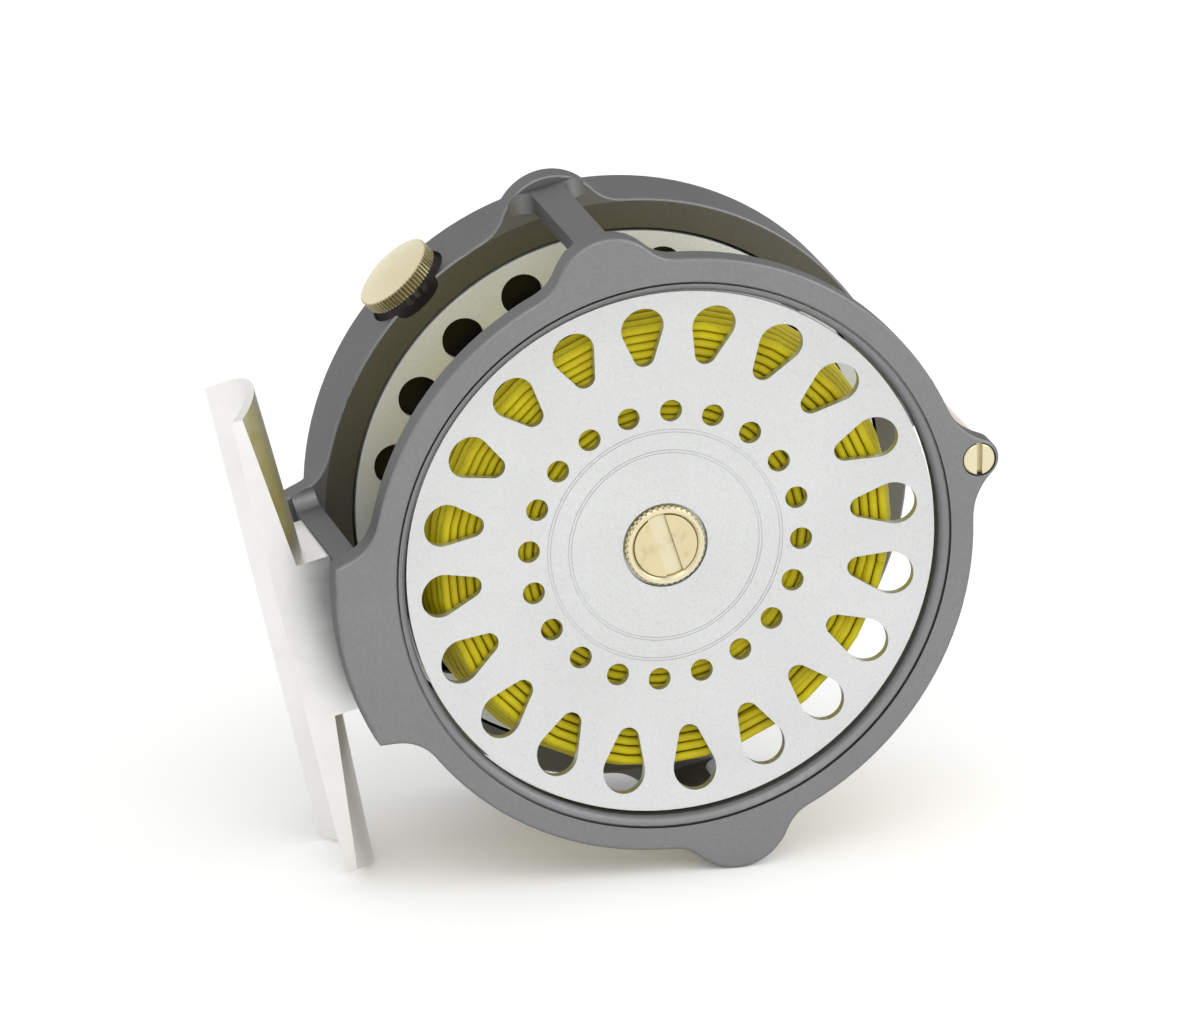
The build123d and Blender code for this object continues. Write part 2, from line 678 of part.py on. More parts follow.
with BuildPart() as pawl_post:
    with BuildSketch(face(WHEEL_BACK - 0.2, REG_TURN)):
        with Locations((PAWL_X, PAWL_Y)):
            Circle(1.0)
    extrude(amount=WEB_FRONT - WHEEL_BACK + 0.2)
    with BuildSketch(face(WHEEL_BACK - 0.7, REG_TURN)):
        with Locations((PAWL_X, PAWL_Y)):
            Circle(1.7)
    extrude(amount=0.5)
    with BuildSketch(face(WHEEL_FRONT + 0.1, REG_TURN)):
        with Locations((PAWL_X, PAWL_Y)):
            Circle(1.6)
    extrude(amount=WEB_BACK - WHEEL_FRONT - 0.1)
finish(pawl_post, "pawl_post")

with BuildPart() as slide:
    with BuildSketch(face(-28.3, REG_TURN)):
        with Locations(((SLIDE_OUT + SLIDE_IN) / 2, 0)):
            Rectangle(SLIDE_OUT - SLIDE_IN, 6.4)
    extrude(amount=2.7)
    with BuildSketch(radial(REG_TURN, SLIDE_IN - 1, REG_DEPTH)):
        Circle(STEM_R + RUNNING)
    extrude(amount=SLIDE_OUT - SLIDE_IN + 2, mode=Mode.SUBTRACT)
    with BuildSketch(face(-27.6, REG_TURN)):
        with Locations(((SLIDE_OUT + SLIDE_IN) / 2, -4.2)):
            Rectangle(SLIDE_OUT - SLIDE_IN, 2.0)
    extrude(amount=1.8)
finish(slide, "regulator_slide")

with BuildPart() as guides:
    with BuildSketch(face(-27.9, REG_TURN)):
        with Locations((27.8, 4.15), (27.8, -6.2)):
            Rectangle(8.5, 1.6)
    extrude(amount=WEB_BACK + 27.9)
finish(guides, "slide_guides")

# The check spring is a leaf: from the slide it runs in beside the stem to the back of the pawl.
with BuildPart() as spring:
    with BuildSketch(face(-27.5, REG_TURN)):
        with BuildLine():
            Line((SLIDE_IN, -4.2), (18.5, -4.2))
            TangentArc((18.5, -4.2), (11.6, 1.6), tangent=(-1, 0))
        trace(line_width=0.4)
    extrude(amount=1.6)
finish(spring, "check_spring")


with BuildPart() as regulator_bush:
    with BuildSketch(radial(REG_TURN, 33.0, REG_DEPTH)):
        Circle(1.8)
        Circle(STEM_R + RUNNING, mode=Mode.SUBTRACT)
    extrude(amount=POCKET_FLOOR - 33.0)
finish(regulator_bush, "regulator_bush")

with BuildPart() as stem:
    with BuildSketch(radial(REG_TURN, STEM_END, REG_DEPTH)):
        Circle(STEM_R)
    extrude(amount=KNOB_FOOT + 1.5 - STEM_END)
    tip = stem.edges().filter_by(GeomType.CIRCLE).sort_by_distance(face(REG_DEPTH).origin)[0]
    chamfer(tip, length=0.2)
finish(stem, "regulator_stem")

with BuildPart() as knob:
    with BuildSketch(radial(REG_TURN, KNOB_FOOT, REG_DEPTH)):
        Circle(KNOB_R)
    extrude(amount=KNOB_TOP - KNOB_FOOT)
    with Locations(radial(REG_TURN, KNOB_TOP - CROWN_R, REG_DEPTH)):
        Sphere(CROWN_R, mode=Mode.INTERSECT)
    with BuildSketch(radial(REG_TURN, KNOB_FOOT - 1, REG_DEPTH)):
        with PolarLocations(KNOB_R, KNURLS):
            Circle(0.19)
    extrude(amount=KNOB_TOP - KNOB_FOOT + 1, mode=Mode.SUBTRACT)
    with BuildSketch(radial(REG_TURN, KNOB_FOOT, REG_DEPTH)):
        Circle(STEM_R)
    extrude(amount=1.5, mode=Mode.SUBTRACT)
finish(knob, "regulator_knob")

# --- Handle side ------------------------------------------------------------------------------
handle_spot = polar(HANDLE_REACH, HANDLE_TURN)
weight_spot = polar(HANDLE_REACH, HANDLE_TURN + 180)

with BuildPart() as plate:
    with BuildSketch(face(PLATE_BACK)):
        Circle(PLATE_R)
        Rectangle(SQUARE, SQUARE, mode=Mode.SUBTRACT)
        with Locations(handle_spot, weight_spot):
            Circle(POST_R, mode=Mode.SUBTRACT)
        with PolarLocations(HOLE_PCR, HOLES, start_angle=HOLE_TURN):
            Circle(HOLE_R, mode=Mode.SUBTRACT)
    extrude(amount=PLATE_FRONT - PLATE_BACK)
    fillet(plate.edges().filter_by(GeomType.CIRCLE).sort_by(SortBy.RADIUS)[-2:], radius=0.4)
finish(plate, "handle_plate")

with BuildPart() as plate_screw:
    with BuildSketch(face(PLATE_BACK)):
        Circle(1.5)
    extrude(amount=6.0)
    with BuildSketch(face(PLATE_BACK - 1.6)):
        Circle(5.6)
    extrude(amount=1.6)
    fillet(plate_screw.faces().sort_by(Axis.Y)[-1].edges(), radius=0.5)
    with BuildSketch(face(PLATE_BACK - 2)):
        Rectangle(1.0, 14)
    extrude(amount=1.2, mode=Mode.SUBTRACT)
finish(plate_screw, "plate_screw")

with BuildPart() as weight:
    with BuildSketch(face(PLATE_FRONT)):
        with Locations(weight_spot):
            Circle(POST_R)
    extrude(amount=PLATE_BACK - PLATE_FRONT)
    with BuildSketch(face(PLATE_BACK - 2.6)):
        with Locations(weight_spot):
            Circle(5.4)
    extrude(amount=2.6)
    fillet(weight.faces().sort_by(Axis.Y)[-1].edges(), radius=0.8)
finish(weight, "counterweight")

handle_base = PLATE_BACK - 1.0
handle_end = handle_base - HANDLE_LENGTH
with BuildPart() as post:
    with BuildSketch(face(handle_end - 0.1)):
        with Locations(handle_spot):
            Circle(POST_R)
    extrude(amount=PLATE_FRONT - handle_end + 0.1)
    with BuildSketch(face(handle_base + 0.15)):
        with Locations(handle_spot):
            Circle(3.6)
    extrude(amount=PLATE_BACK - handle_base - 0.15)
    with BuildSketch(face(handle_end - 0.9)):
        with Locations(handle_spot):
            Circle(2.3)
    extrude(amount=0.8)
    fillet(post.faces().sort_by(Axis.Y)[-1].edges(), radius=0.4)
finish(post, "handle_post")

with BuildPart() as handle:
    with BuildSketch(section(HANDLE_TURN, HANDLE_REACH)):
        with BuildLine():
            Polyline((POST_R + RUNNING, handle_end), (POST_R + RUNNING, handle_base),
                     (3.1, handle_base), (3.4, handle_base - 1.0))
            Spline((3.4, handle_base - 1.0), (3.2, handle_base - 6), (4.7, handle_base - 14.5),
                   (3.6, handle_end + 0.4))
            Polyline((3.6, handle_end + 0.4), (3.0, handle_end), (POST_R + RUNNING, handle_end))
        make_face()
    revolve(axis=axis_at(HANDLE_TURN, HANDLE_REACH))
finish(handle, "handle")
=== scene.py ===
"""Looks for a cage fly reel: finishes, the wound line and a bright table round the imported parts."""

import json
import math
import random

import bpy
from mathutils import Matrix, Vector


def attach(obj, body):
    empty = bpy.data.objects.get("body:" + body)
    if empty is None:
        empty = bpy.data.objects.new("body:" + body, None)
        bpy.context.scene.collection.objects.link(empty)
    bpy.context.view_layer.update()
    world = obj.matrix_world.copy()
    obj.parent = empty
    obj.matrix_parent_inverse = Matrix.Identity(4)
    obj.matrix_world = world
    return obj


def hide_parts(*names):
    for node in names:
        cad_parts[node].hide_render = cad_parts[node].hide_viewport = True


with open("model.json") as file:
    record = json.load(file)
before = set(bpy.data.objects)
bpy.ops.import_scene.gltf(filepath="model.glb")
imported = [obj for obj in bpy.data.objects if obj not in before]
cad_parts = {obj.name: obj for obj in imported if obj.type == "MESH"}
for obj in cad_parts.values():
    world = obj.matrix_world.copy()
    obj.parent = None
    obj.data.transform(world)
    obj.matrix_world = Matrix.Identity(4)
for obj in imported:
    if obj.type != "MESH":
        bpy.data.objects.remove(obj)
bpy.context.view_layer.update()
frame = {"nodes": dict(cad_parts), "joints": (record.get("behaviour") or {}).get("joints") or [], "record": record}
nodes = frame["nodes"]
joints = {joint["name"]: joint for joint in frame["joints"]}

MM = 0.001

# The drum's axis runs along Y, and its open face looks towards -Y, in front of the joint.
FACE_AHEAD = 12.0 * MM
SPIN_AT = Vector(joints["spool_spin"]["pos_m"])
FACE_CENTRE = SPIN_AT + Vector((0.0, -FACE_AHEAD, 0.0))

# The camera: lens and sensor in mm, the nearest and farthest it sees in metres, its place
# from the middle of the face, and the direction in which it looks.
LENS = 360.0
SENSOR = 36.0
NEAREST = 0.05
FARTHEST = 20.0
CAMERA_BACK = Vector((-0.375566, -1.333778, 0.482013))
CAMERA_AIM = Vector((0.2510, 0.9115, -0.3257))

# The studio: its brightness near the horizon and overhead, and two lamps as
# (name, place, size, watts), both aimed at LAMP_AIM.
STUDIO_LEVEL = 1.12
STUDIO_ZENITH = 0.85
STUDIO_WHITE = (1.0, 0.995, 0.985, 1.0)
LAMP_AIM = (0.0, 0.0, 0.03)
LAMPS = (
    ("key", (-0.25, -0.9, 1.0), (0.9, 0.9), 3.2),
    ("fill", (0.9, -0.5, 0.8), (0.8, 0.8), 3.0),
)

# The table: half its side in metres, its finish and the faint glow that keeps it white.
FLOOR_HALF = 4.0
FLOOR_ROUGH = 0.6
FLOOR_GLOSS = 0.25
FLOOR_GLOW = 0.09
FLOOR_GLOW_TINT = (1.0, 1.0, 0.99, 1.0)
FLOOR_TONES = ((0.3, (0.945, 0.945, 0.94)), (0.7, (0.96, 0.96, 0.955)))

# The regulator's axis crosses the drum's at this depth behind the face. The bottoms of its
# knob's knurls are within KNURL_R of its own axis and KNURL_TOP of the drum's; there the knob's brass is darkened
# with painted shade.
REG_DEPTH = 26.7 * MM
KNURL_R = 5.22 * MM
KNURL_TOP = 39.8 * MM
# painted shade: the colour that darkens the knurl valleys and the knob's lower part
KNURL_PAINTED_SHADE = (0.36, 0.32, 0.2)

# The drum's front flange: where its dish begins, the dish's radius and its thickness.
DISH_FROM = 15.6 * MM
DISH_R = 56.4 * MM
FLANGE = 1.1 * MM

# Painted shade inside the cage, as ((radius, near depth, far depth), colour): darker colour
# on the ledge behind the drum, on the far housing's wall, and darkest on what lies inside
# that wall, where the second darkening holds too. Depths are negative behind the face.
CAGE_PAINTED_SHADE = (
    ((37.3 * MM, -21.9 * MM, -22.25 * MM), (0.66, 0.64, 0.52)),
    ((37.3 * MM, -22.25 * MM, -32.0 * MM), (0.55, 0.53, 0.48)),
    ((34.7 * MM, -22.25 * MM, -33.0 * MM), (0.3, 0.3, 0.26)),
)

# The same for the cap, also painted shade: the floor of its slot, the slot's walls and a faint dark line on the
# edge above them.
SLOT_PAINTED_SHADE = (
    ((4.2 * MM, -0.1 * MM, -0.28 * MM), (0.3, 0.27, 0.2)),
    ((4.2 * MM, 0.3 * MM, -0.1 * MM), (0.45, 0.42, 0.33)),
    ((4.2 * MM, 0.5 * MM, 0.3 * MM), (0.95, 0.90, 0.82)),
)

BLACK = (0.0, 0.0, 0.0)
WHITE = (1.0, 1.0, 1.0)
PALE_BRASS = (0.72, 0.655, 0.45)
TARNISH = (0.50, 0.43, 0.24)

# How much darker and lighter the slow change of tone on metal goes, and how far its
# roughness swings to either side.
TONE_DARK = 0.965
TONE_LIGHT = 1.03
ROUGH_DOWN = 0.05
ROUGH_UP = 0.06

# The part of a noise's range that is spread over a roughness.
NOISE_LOW = 0.3
NOISE_HIGH = 0.7

# Noises as (grains to the metre, detail) and for the tarnish also its roughness: the slow
# change of tone, the change of roughness and the patches of tarnish. The change of
# roughness on blasted metal is coarser than its pits by a share.
BLASTED_TONE = (90.0, 3.0)
MACHINED_TONE = (110.0, 3.0)
MACHINED_ROUGH = (700.0, 4.0)
COARSER = 0.35
TARNISH_AT = (430.0, 4.0, 0.6)

# The pits of blasted metal: how much darker a speck is, and how deep the relief goes.
SPECKLE = 0.10
BLASTED_RELIEF = 0.006 * MM

# The fly line and the backing under it: continuous strands laid in level layers.
# "inner" and "outer" are the radii of the first and last layer, "gap" the room left under
# the front flange, "back" the depth of the rearmost turn, "swell" and "fall" the widening
# of the pack near the front and its narrowing at the rear, "lift" and "sway" the unevenness.
FLY_LINE = {
    "strand": 1.05 * MM,
    "sides": 10,
    "steps": 36,
    "inner": 14.6 * MM,
    "outer": 28.05 * MM,
    "gap": 0.75 * MM,
    "swell": 0.13,
    "fall": 0.05,
    "back": -21.3 * MM,
    "layers": 13,
    "turns": 20,
    "lift": 0.05 * MM,
    "sway": 0.16 * MM,
    "seed": 11,
}
BACKING = {
    "strand": 0.72 * MM,
    "sides": 6,
    "steps": 26,
    "inner": 12.2 * MM,
    "outer": 13.6 * MM,
    "gap": 4.6 * MM,
    "swell": 0.0,
    "fall": 0.0,
    "back": -21.4 * MM,
    "layers": 3,
    "turns": 21,
    "lift": 0.03 * MM,
    "sway": 0.08 * MM,
    "seed": 5,
}
# Turns that stay against a flange before the strand goes across, the part of a turn in
# which it climbs to the next layer, and where across the drum the pack is widest.
DWELL_TURNS = 0.9
CLIMB_TURNS = 0.25
BELLY_AT = 0.3
LIFT_WAVES = 4
SWAY_WAVES = 3


def face_point(reach, turn, depth):
    """A point by its distance from the drum's axis, angle and depth in front of the face."""
    return FACE_CENTRE + Vector((reach * math.cos(turn), -depth, reach * math.sin(turn)))


# ---------------------------------------------------------------- camera, table and light


def look_along(direction):
    """Rotation of a camera or lamp that looks along a direction with +Z up."""
    return direction.to_track_quat("-Z", "Y")


def make_camera():
    data = bpy.data.cameras.new("camera")
    data.lens = LENS
    data.sensor_width = SENSOR
    data.clip_start = NEAREST
    data.clip_end = FARTHEST
    camera = bpy.data.objects.new("camera", data)
    camera.location = FACE_CENTRE + CAMERA_BACK
    camera.rotation_mode = "QUATERNION"
    camera.rotation_quaternion = look_along(CAMERA_AIM)
    bpy.context.scene.collection.objects.link(camera)
    bpy.context.scene.camera = camera


def softbox(name, place, aim, size, power):
    data = bpy.data.lights.new(name, "AREA")
    data.shape = "RECTANGLE"
    data.size = size[0]
    data.size_y = size[1]
    data.energy = power
    lamp = bpy.data.objects.new(name, data)
    lamp.location = place
    lamp.rotation_mode = "QUATERNION"
    lamp.rotation_quaternion = look_along(Vector(aim) - Vector(place))
    bpy.context.scene.collection.objects.link(lamp)


def make_world():
    """An even white studio that grows a little dimmer overhead."""
    world = bpy.data.worlds.new("studio")
    world.use_nodes = True
    tree = world.node_tree
    place = tree.nodes.new("ShaderNodeTexCoord")
    split = tree.nodes.new("ShaderNodeSeparateXYZ")
    fade = tree.nodes.new("ShaderNodeMapRange")
    fade.inputs["To Min"].default_value = STUDIO_LEVEL
    fade.inputs["To Max"].default_value = STUDIO_ZENITH
    background = tree.nodes["Background"]
    background.inputs["Color"].default_value = STUDIO_WHITE
    tree.links.new(place.outputs["Generated"], split.inputs["Vector"])
    tree.links.new(split.outputs["Z"], fade.inputs["Value"])
    tree.links.new(fade.outputs["Result"], background.inputs["Strength"])
    bpy.context.scene.world = world


# ---------------------------------------------------------------- materials


class Finish:
    """A small builder for one procedural material."""

    def __init__(self, name, **shader):
        self.material = bpy.data.materials.new(name)
        self.material.use_nodes = True
        self.tree = self.material.node_tree
        self.shader = self.tree.nodes["Principled BSDF"]
        for socket, value in shader.items():
            self.shader.inputs[socket.replace("_", " ")].default_value = value
        coordinates = self.tree.nodes.new("ShaderNodeTexCoord")
        self.place = coordinates.outputs["Object"]

    def noise(self, scale, detail=2.0, rough=0.5, stretch=None):
        """Noise with a number of grains to the metre, stretched along an axis if asked."""
        source = self.place
        if stretch is not None:
            mapping = self.tree.nodes.new("ShaderNodeMapping")
            mapping.inputs["Scale"].default_value = stretch
            self.tree.links.new(source, mapping.inputs["Vector"])
            source = mapping.outputs["Vector"]
        node = self.tree.nodes.new("ShaderNodeTexNoise")
        node.inputs["Scale"].default_value = scale
        node.inputs["Detail"].default_value = detail
        node.inputs["Roughness"].default_value = rough
        self.tree.links.new(source, node.inputs["Vector"])
        return node.outputs["Fac"]

    def ramp(self, factor, stops):
        """A colour ramp from (position, colour) stops."""
        node = self.tree.nodes.new("ShaderNodeValToRGB")
        elements = node.color_ramp.elements
        while len(elements) < len(stops):
            elements.new(0.5)
        for element, (position, colour) in zip(elements, stops):
            element.position = position
            element.color = (*colour, 1.0)
        self.tree.links.new(factor, node.inputs["Fac"])
        return node.outputs["Color"]

    def spread(self, factor, low, high):
        """A factor's middle range mapped to numbers from low to high."""
        node = self.tree.nodes.new("ShaderNodeMapRange")
        node.inputs["From Min"].default_value = NOISE_LOW
        node.inputs["From Max"].default_value = NOISE_HIGH
        node.inputs["To Min"].default_value = low
        node.inputs["To Max"].default_value = high
        self.tree.links.new(factor, node.inputs["Value"])
        return node.outputs["Result"]

    def mix(self, kind, factor, first, second):
        """Two colours blended; factor is a number or a socket."""
        node = self.tree.nodes.new("ShaderNodeMix")
        node.data_type = "RGBA"
        node.blend_type = kind
        if isinstance(factor, (int, float)):
            node.inputs["Factor"].default_value = factor
        else:
            self.tree.links.new(factor, node.inputs["Factor"])
        for socket, value in (("A", first), ("B", second)):
            target = [s for s in node.inputs if s.name == socket and s.type == "RGBA"][0]
            if isinstance(value, tuple):
                target.default_value = (*value, 1.0)
            else:
                self.tree.links.new(value, target)
        return [s for s in node.outputs if s.type == "RGBA"][0]

    def sums(self, kind, first, second):
        """Arithmetic on sockets and numbers."""
        node = self.tree.nodes.new("ShaderNodeMath")
        node.operation = kind
        for index, value in enumerate((first, second)):
            if isinstance(value, (int, float)):
                node.inputs[index].default_value = value
            else:
                self.tree.links.new(value, node.inputs[index])
        return node.outputs["Value"]

    def within(self, reach, near, far):
        """One within a radius of the drum's axis, between two depths; nought elsewhere."""
        split = self.tree.nodes.new("ShaderNodeSeparateXYZ")
        self.tree.links.new(self.place, split.inputs["Vector"])
        aside = self.sums("SUBTRACT", split.outputs["X"], FACE_CENTRE.x)
        above = self.sums("SUBTRACT", split.outputs["Z"], FACE_CENTRE.z)
        across = self.sums("MULTIPLY", aside, aside)
        upward = self.sums("MULTIPLY", above, above)
        squares = self.sums("ADD", across, upward)
        inside = self.sums("LESS_THAN", squares, reach * reach)
        behind = self.sums("GREATER_THAN", split.outputs["Y"], FACE_CENTRE.y - near)
        before = self.sums("LESS_THAN", split.outputs["Y"], FACE_CENTRE.y - far)
        return self.sums("MULTIPLY", inside, self.sums("MULTIPLY", behind, before))

    def valleys(self, joint, reach, height):
        """One nearer than reach to the regulator's axis and lower than height along it."""
        axis = Vector(joint["axis"]).normalized()
        start = FACE_CENTRE + Vector((0.0, REG_DEPTH, 0.0))
        offset = self.tree.nodes.new("ShaderNodeVectorMath")
        offset.operation = "SUBTRACT"
        offset.inputs[1].default_value = start
        self.tree.links.new(self.place, offset.inputs[0])
        along = self.tree.nodes.new("ShaderNodeVectorMath")
        along.operation = "DOT_PRODUCT"
        along.inputs[1].default_value = axis
        self.tree.links.new(offset.outputs["Vector"], along.inputs[0])
        span = self.tree.nodes.new("ShaderNodeVectorMath")
        span.operation = "LENGTH"
        self.tree.links.new(offset.outputs["Vector"], span.inputs[0])
        far = self.sums("MULTIPLY", span.outputs["Value"], span.outputs["Value"])
        high = self.sums("MULTIPLY", along.outputs["Value"], along.outputs["Value"])
        near = self.sums("LESS_THAN", self.sums("SUBTRACT", far, high), reach * reach)
        low = self.sums("LESS_THAN", self.sums("ABSOLUTE", along.outputs["Value"], 0.0), height)
        return self.sums("MULTIPLY", near, low)

    def colour(self, source):
        self.tree.links.new(source, self.shader.inputs["Base Color"])

    def roughness(self, source):
        self.tree.links.new(source, self.shader.inputs["Roughness"])

    def bump(self, height, depth):
        """Relief from a height, whose full swing is depth metres."""
        node = self.tree.nodes.new("ShaderNodeBump")
        node.inputs["Strength"].default_value = 1.0
        node.inputs["Distance"].default_value = depth
        self.tree.links.new(height, node.inputs["Height"])
        self.tree.links.new(node.outputs["Normal"], self.shader.inputs["Normal"])


def shade(colour, share):
    """A colour made lighter or darker by a share."""
    return tuple(min(1.0, channel * share) for channel in colour)


def blasted(name, colour, rough, metallic, edge, grain, shade_zones=()):
    """Bead-blasted or anodised metal: fine pits, a faint speckle and slow cloudy variation."""
    finish = Finish(name, Metallic=metallic, Specular_Tint=(edge, edge, edge, 1.0))
    tones = ((0.25, shade(colour, TONE_DARK)), (0.75, shade(colour, TONE_LIGHT)))
    cloud = finish.ramp(finish.noise(*BLASTED_TONE), tones)
    specks = ((0.34, shade(WHITE, 1.0 - SPECKLE)), (0.52, WHITE))
    speck = finish.ramp(finish.noise(grain, 2.0, 0.65), specks)
    paint = finish.mix("MULTIPLY", 1.0, cloud, speck)
    # painted shade: the colour is darkened inside each given region
    for zone, shade_tint in shade_zones:
        paint = finish.mix("MULTIPLY", finish.within(*zone), paint, shade_tint)
    finish.colour(paint)
    change = finish.noise(grain * COARSER, 3.0)
    finish.roughness(finish.spread(change, rough - ROUGH_DOWN, rough + ROUGH_UP))
    finish.bump(finish.noise(grain, 2.0, 0.6), BLASTED_RELIEF)
    return finish.material


def machined(name, colour, rough, stretch, lines, relief, shade_zones=(), stain=None, knurl_shade=None):
    """Turned or milled metal with fine tool lines and a slow change of tone."""
    finish = Finish(name, Metallic=1.0)
    tones = ((0.3, shade(colour, TONE_DARK)), (0.72, shade(colour, TONE_LIGHT)))
    paint = finish.ramp(finish.noise(*MACHINED_TONE), tones)
    if stain is not None:
        spots = ((0.56, BLACK), (0.72, (0.6, 0.6, 0.6)))
        patches = finish.ramp(finish.noise(*TARNISH_AT), spots)
        paint = finish.mix("MIX", patches, paint, stain)
    # painted shade: the colour is darkened inside each given region
    for zone, shade_tint in shade_zones:
        paint = finish.mix("MULTIPLY", finish.within(*zone), paint, shade_tint)
    # painted shade: the knob's colour darkened in its knurl valleys and below their bottoms
    if knurl_shade is not None:
        low = finish.valleys(joints["regulator_turn"], KNURL_R, KNURL_TOP)
        paint = finish.mix("MULTIPLY", low, paint, knurl_shade)
    finish.colour(paint)
    change = finish.noise(*MACHINED_ROUGH)
    finish.roughness(finish.spread(change, rough - ROUGH_DOWN, rough + ROUGH_UP))
    finish.bump(finish.noise(lines, 2.0, 0.6, stretch), relief)
    return finish.material


# name: colour, roughness, metal, tint at a glancing angle, grains to the metre, regions of painted shade
BLASTED = {
    "grey_anodised": ((0.236, 0.238, 0.244), 0.46, 0.95, 0.32, 5200.0, CAGE_PAINTED_SHADE),
    "silver_flange": ((0.655, 0.667, 0.665), 0.44, 0.95, 0.9, 4600.0),
    # painted light: a lighter copy of the flange's finish, standing in for light that reaches the rear flange
    # inside the cage
    "rear_flange": ((0.80, 0.835, 0.86), 0.55, 0.6, 0.9, 4600.0),
}

# name: colour, roughness, stretch of the tool lines, lines to the metre, relief, and for
# some the regions of painted shade, the colour of tarnish and that of the painted shade between knurls
MACHINED = {
    "satin_silver": ((0.80, 0.795, 0.78), 0.42, (1.0, 0.12, 1.0), 5200.0, 0.0012 * MM),
    "brass": (PALE_BRASS, 0.32, (1.0, 1.0, 1.0), 4600.0, 0.0015 * MM),
    "cap_brass": (
        PALE_BRASS, 0.30, (1.0, 0.2, 1.0), 4600.0, 0.002 * MM, SLOT_PAINTED_SHADE, TARNISH
    ),
    "knurled_brass": (
        PALE_BRASS, 0.30, (1.0, 1.0, 0.2), 4600.0, 0.002 * MM, (), None, KNURL_PAINTED_SHADE
    ),
    # painted shade: bronze far darker than the bare metal, for the bush deep in the regulator's pocket
    "bronze": ((0.10, 0.085, 0.055), 0.45, (1.0, 1.0, 1.0), 3000.0, 0.002 * MM),
    "nickel_silver": ((0.62, 0.565, 0.50), 0.24, (1.0, 0.1, 1.0), 4000.0, 0.001 * MM),
    "steel": ((0.42, 0.42, 0.43), 0.32, (1.0, 1.0, 1.0), 4200.0, 0.002 * MM),
}


def line_coating():
    """The fly line's smooth yellow coating, a little uneven and faintly soiled."""
    line = Finish("line_coating", Roughness=0.45, Specular_IOR_Level=0.22)
    yellows = (
        (0.28, (0.42, 0.345, 0.004)),
        (0.5, (0.50, 0.42, 0.005)),
        (0.75, (0.57, 0.49, 0.007)),
    )
    tone = line.ramp(line.noise(230.0, 3.0), yellows)
    soil = ((0.26, (0.80, 0.78, 0.6)), (0.36, WHITE))
    flecks = line.ramp(line.noise(1500.0, 2.0), soil)
    line.colour(line.mix("MULTIPLY", 1.0, tone, flecks))
    line.bump(line.noise(2600.0, 3.0), 0.01 * MM)
    return line.material


def backing_braid():
    """The backing's rough off-white braid."""
    braid = Finish("backing_braid", Roughness=0.75)
    fibres = ((0.3, (0.62, 0.60, 0.52)), (0.65, (0.86, 0.85, 0.79)))
    braid.colour(braid.ramp(braid.noise(2400.0), fibres))
    braid.bump(braid.noise(3200.0), 0.08 * MM)
    return braid.material


def dark_horn():
    """The handle's dark polished horn, with streaks along it."""
    horn = Finish("dark_horn", Roughness=0.28, Coat_Weight=0.35)
    browns = (
        (0.3, (0.012, 0.009, 0.007)),
        (0.55, (0.035, 0.022, 0.014)),
        (0.8, (0.09, 0.055, 0.03)),
    )
    streaks = horn.noise(160.0, 5.0, 0.6, (1.0, 0.22, 1.0))
    horn.colour(horn.ramp(streaks, browns))
    horn.bump(horn.noise(900.0, 3.0, 0.5, (1.0, 0.3, 1.0)), 0.01 * MM)
    return horn.material


def make_materials():
    made = {name: blasted(name, *facts) for name, facts in BLASTED.items()}
    made.update((name, machined(name, *facts)) for name, facts in MACHINED.items())
    made["line_coating"] = line_coating()
    made["backing_braid"] = backing_braid()
    made["dark_horn"] = dark_horn()
    return made


# ---------------------------------------------------------------- wound line


def smooth_noise(rng, waves, size):
    """A seeded sum of a few slow waves round one turn, as a function of the angle."""
    parts = [(rng.uniform(0.3, 1.0), k + 1, rng.uniform(0, math.tau)) for k in range(waves)]
    total = sum(weight for weight, _, _ in parts)
    return lambda turn: size * sum(w * math.sin(k * turn + p) for w, k, p in parts) / total


def under_flange(reach):
    """Depth of the front flange's underside at a distance from the axis."""
    out = max(0.0, reach - DISH_FROM)
    return DISH_R - math.sqrt(DISH_R * DISH_R - out * out) - FLANGE


def belly(lay, share):
    """How much wider the pack is, as a share, part of the way from the front flange to the rear."""
    if share < BELLY_AT:
        return lay["swell"] * math.sin(math.pi / 2 * share / BELLY_AT)
    back = (share - BELLY_AT) / (1 - BELLY_AT)
    return lay["swell"] * (1 - back) - lay["fall"] * back


def wound_path(lay):
    """Centre points of a strand from its first turn on the arbor to the last one outside."""
    rng = random.Random(lay["seed"])
    points = []
    layer_pitch = (lay["outer"] - lay["inner"]) / (lay["layers"] - 1)
    turns = lay["turns"]
    for layer in range(lay["layers"]):
        reach = lay["inner"] + layer * layer_pitch
        near, far = under_flange(reach) - lay["gap"], lay["back"]
        start, end = (near, far) if layer % 2 else (far, near)
        for turn in range(turns):
            lift = smooth_noise(rng, LIFT_WAVES, lay["lift"])
            sway = smooth_noise(rng, SWAY_WAVES, lay["sway"])
            for step in range(lay["steps"]):
                share = step / lay["steps"]
                done = turn + share
                across = (done - DWELL_TURNS) / (turns - 2 * DWELL_TURNS)
                depth = start + (end - start) * min(1.0, max(0.0, across))
                climb = max(0.0, 1.0 - (turns - done) / CLIMB_TURNS)
                if layer == lay["layers"] - 1:
                    climb = 0.0
                angle = math.tau * share
                blend = math.sin(math.pi * share) ** 2
                eased = climb * climb * (3 - 2 * climb)
                radius = reach + layer_pitch * eased + blend * lift(angle)
                radius += (radius - lay["inner"]) * belly(lay, (near - depth) / (near - far))
                points.append((radius, angle, depth + blend * sway(angle)))
    return points


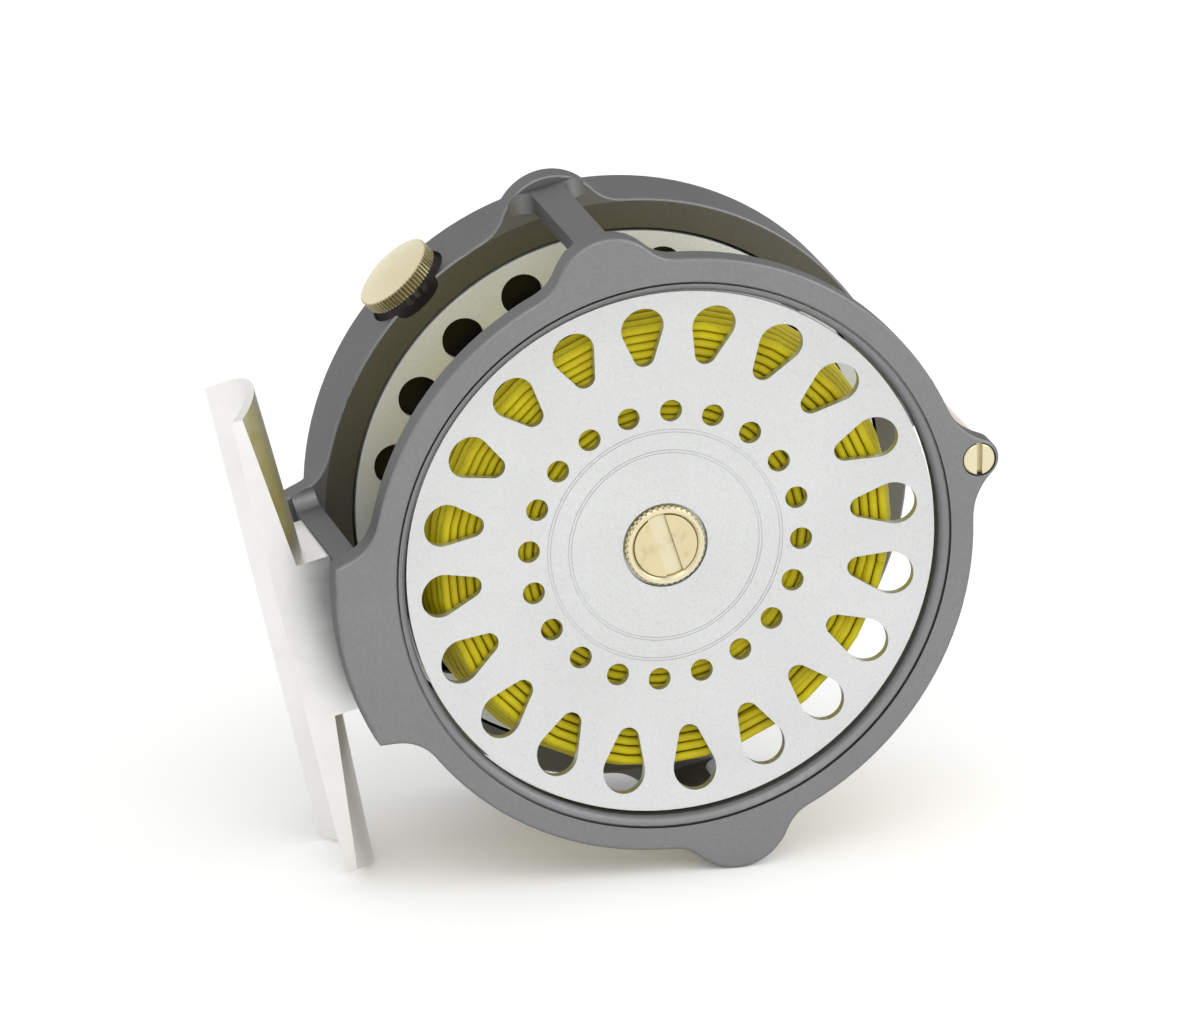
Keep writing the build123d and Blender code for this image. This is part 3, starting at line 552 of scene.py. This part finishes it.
def tube_along(name, path, radius, sides):
    """A round tube along centre points, as one mesh with closed ends."""
    count = len(path)
    vertices = []
    for index in range(count):
        before = path[max(0, index - 1)]
        after = path[min(count - 1, index + 1)]
        along = (after - before).normalized()
        side = along.cross(Vector((0.0, 1.0, 0.0))).normalized()
        rise = side.cross(along)
        for k in range(sides):
            turn = math.tau * k / sides
            vertices.append(path[index] + radius * (math.cos(turn) * side + math.sin(turn) * rise))
    faces = []
    for index in range(count - 1):
        low = index * sides
        for k in range(sides):
            after = (k + 1) % sides
            faces.append((low + k, low + after, low + sides + after, low + sides + k))
    faces.append(tuple(range(sides - 1, -1, -1)))
    faces.append(tuple(range((count - 1) * sides, count * sides)))
    mesh = bpy.data.meshes.new(name)
    mesh.from_pydata(vertices, [], faces)
    mesh.validate()
    mesh.polygons.foreach_set("use_smooth", [True] * len(mesh.polygons))
    piece = bpy.data.objects.new(name, mesh)
    bpy.context.scene.collection.objects.link(piece)
    return piece


def wind(name, lay, node, material):
    """A wound strand that turns with the drum and stands in for a packed ring."""
    path = [face_point(*point) for point in wound_path(lay)]
    piece = tube_along(name, path, lay["strand"] / 2, lay["sides"])
    piece.data.materials.append(material)
    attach(piece, "spool")
    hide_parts(node)


# ---------------------------------------------------------------- floor


def make_floor():
    mesh = bpy.data.meshes.new("table_top")
    half = FLOOR_HALF
    corners = [(-half, -half, 0.0), (half, -half, 0.0), (half, half, 0.0), (-half, half, 0.0)]
    mesh.from_pydata(corners, [], [(0, 1, 2, 3)])
    floor = bpy.data.objects.new("table_top", mesh)
    bpy.context.scene.collection.objects.link(floor)
    finish = Finish("table_white", Roughness=FLOOR_ROUGH, Specular_IOR_Level=FLOOR_GLOSS)
    finish.shader.inputs["Emission Color"].default_value = FLOOR_GLOW_TINT
    finish.shader.inputs["Emission Strength"].default_value = FLOOR_GLOW
    finish.colour(finish.ramp(finish.noise(6.0, 2.0), FLOOR_TONES))
    floor.data.materials.append(finish.material)


# ---------------------------------------------------------------- build


make_camera()
make_world()
for lamp_name, place, size, power in LAMPS:
    softbox(lamp_name, place, LAMP_AIM, size, power)
make_floor()

materials = make_materials()
LOOK_OF = {
    "drum_rear_flange": "rear_flange",
    "spindle_cap": "cap_brass",
    "regulator_knob": "knurled_brass",
    "regulator_bush": "bronze",
}
SLOT_OF = {part["node"]: part["material_slot"] for part in frame["record"]["subparts"]}
for node_name, node in nodes.items():
    node.data.materials.clear()
    node.data.materials.append(materials[LOOK_OF.get(node_name, SLOT_OF[node_name])])

wind("wound_line", FLY_LINE, "fly_line", materials["line_coating"])
wind("wound_backing", BACKING, "backing", materials["backing_braid"])

bpy.context.scene.view_settings.view_transform = "Standard"
bpy.context.scene.view_settings.look = "None"
